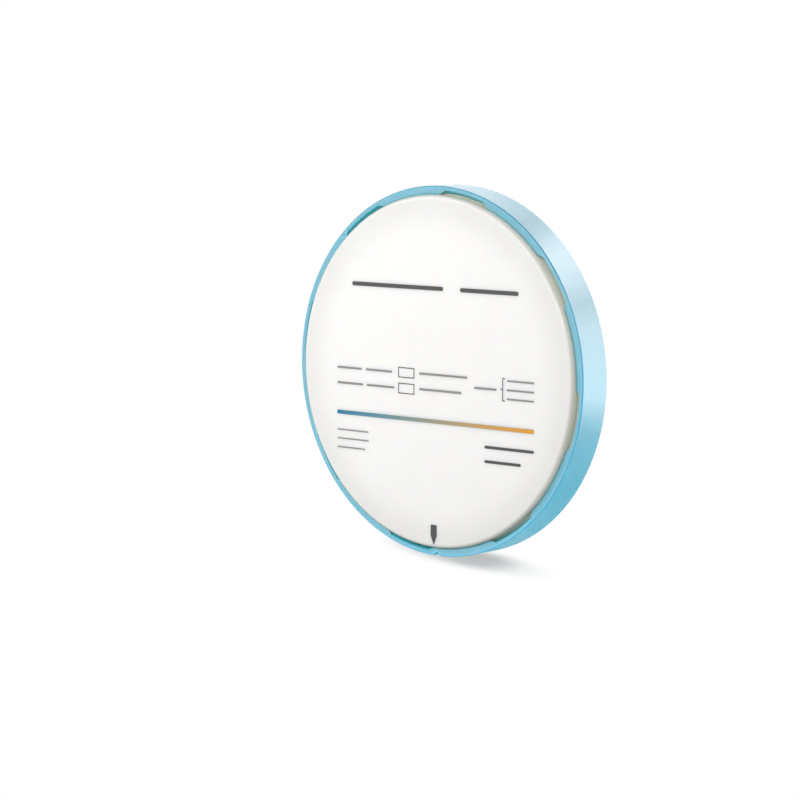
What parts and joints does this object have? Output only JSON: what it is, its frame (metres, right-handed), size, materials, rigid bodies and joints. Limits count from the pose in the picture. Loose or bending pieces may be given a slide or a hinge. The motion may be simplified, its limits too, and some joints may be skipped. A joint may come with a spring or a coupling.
{
  "type": "dental milling disc",
  "caption": "Round white zirconia milling blank bonded into a light blue plastic carrier ring with tapered pockets and an index groove.",
  "frame": {"origin": "centre of the blank's flat back face, on which the disc lies, under the ring's axis", "axes": "+Z along the disc's axis out of the marked face, +Y towards the marked face's 12 o'clock, +X to its right; the index groove is at -Y"},
  "size_m": [0.0984, 0.0984, 0.018],
  "materials": {
    "zirconia": "matte",
    "ring_plastic": "satin"
  },
  "bodies": {
    "root": {"zirconia_blank": "zirconia", "carrier_ring": "ring_plastic"}
  },
  "joints": []
}
